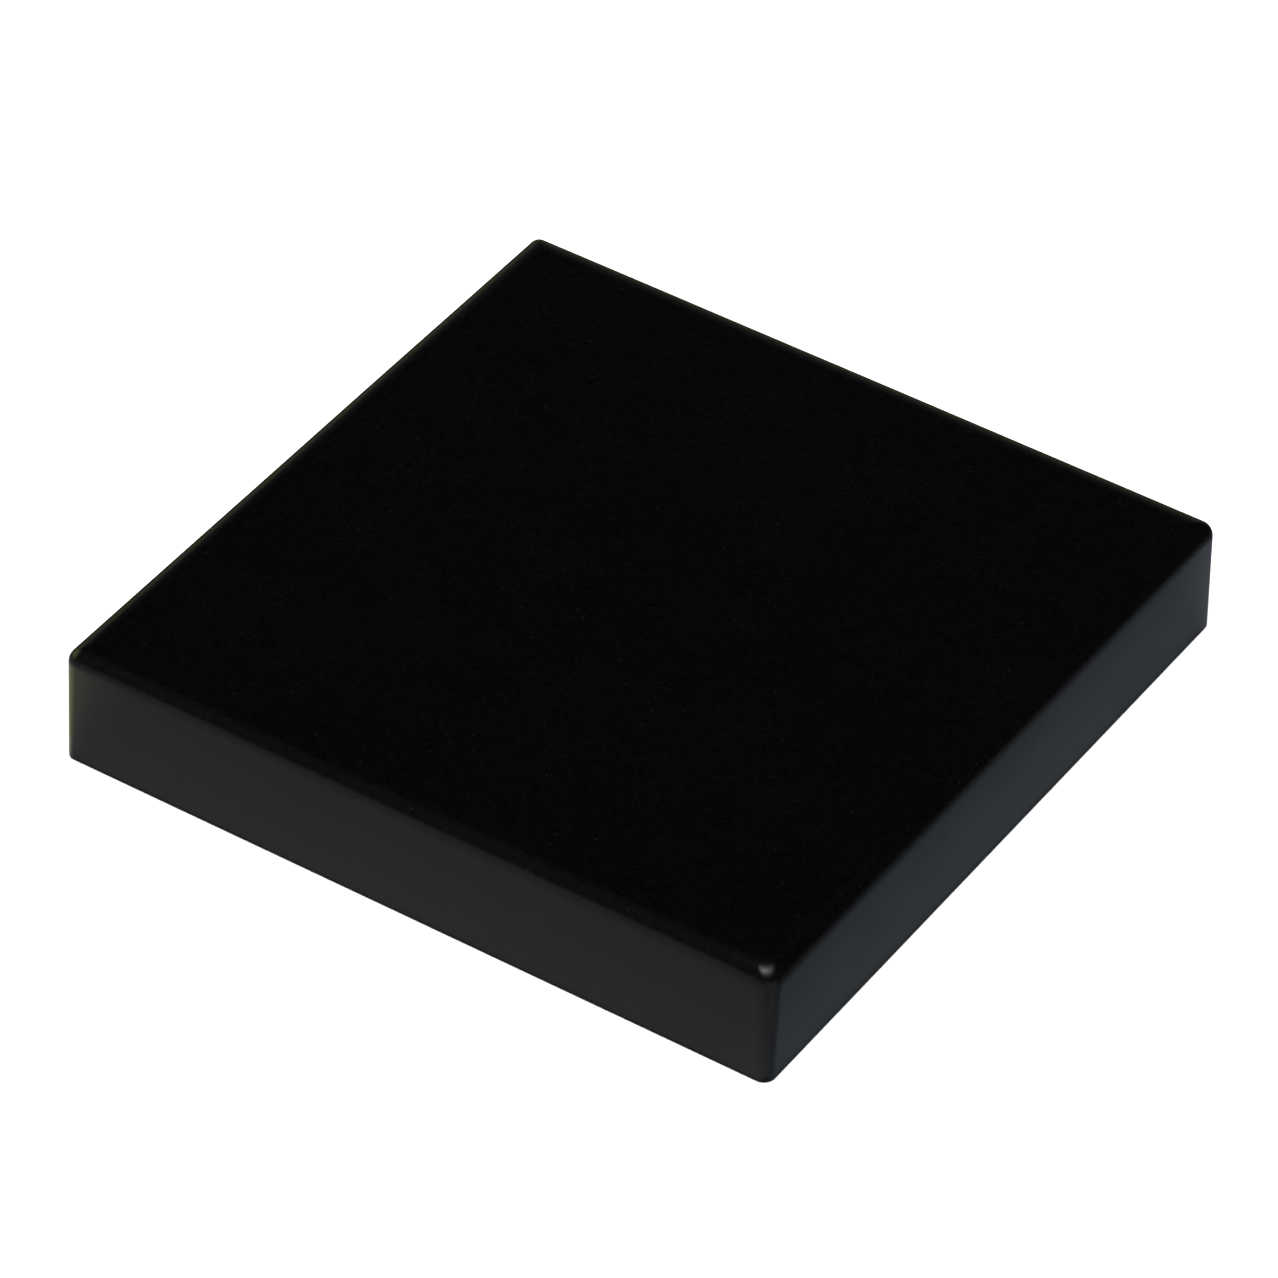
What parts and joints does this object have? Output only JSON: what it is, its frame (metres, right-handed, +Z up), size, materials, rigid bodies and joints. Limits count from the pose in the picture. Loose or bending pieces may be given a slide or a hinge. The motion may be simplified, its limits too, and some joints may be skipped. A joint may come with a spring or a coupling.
{
  "type": "granite tooling slab",
  "caption": "Thick square slab of polished black granite with rounded corners and eased edges, a heavy flat base for stamping and tooling leather.",
  "frame": {"origin": "centre of the bottom face, the face that the slab lies on", "axes": "+Z up, square to the bottom face and out of the work surface; X and Y along the sides of the square"},
  "size_m": [0.3048, 0.3048, 0.0508],
  "materials": {
    "granite": "polished"
  },
  "bodies": {
    "root": {"granite_slab": "granite"}
  },
  "joints": []
}
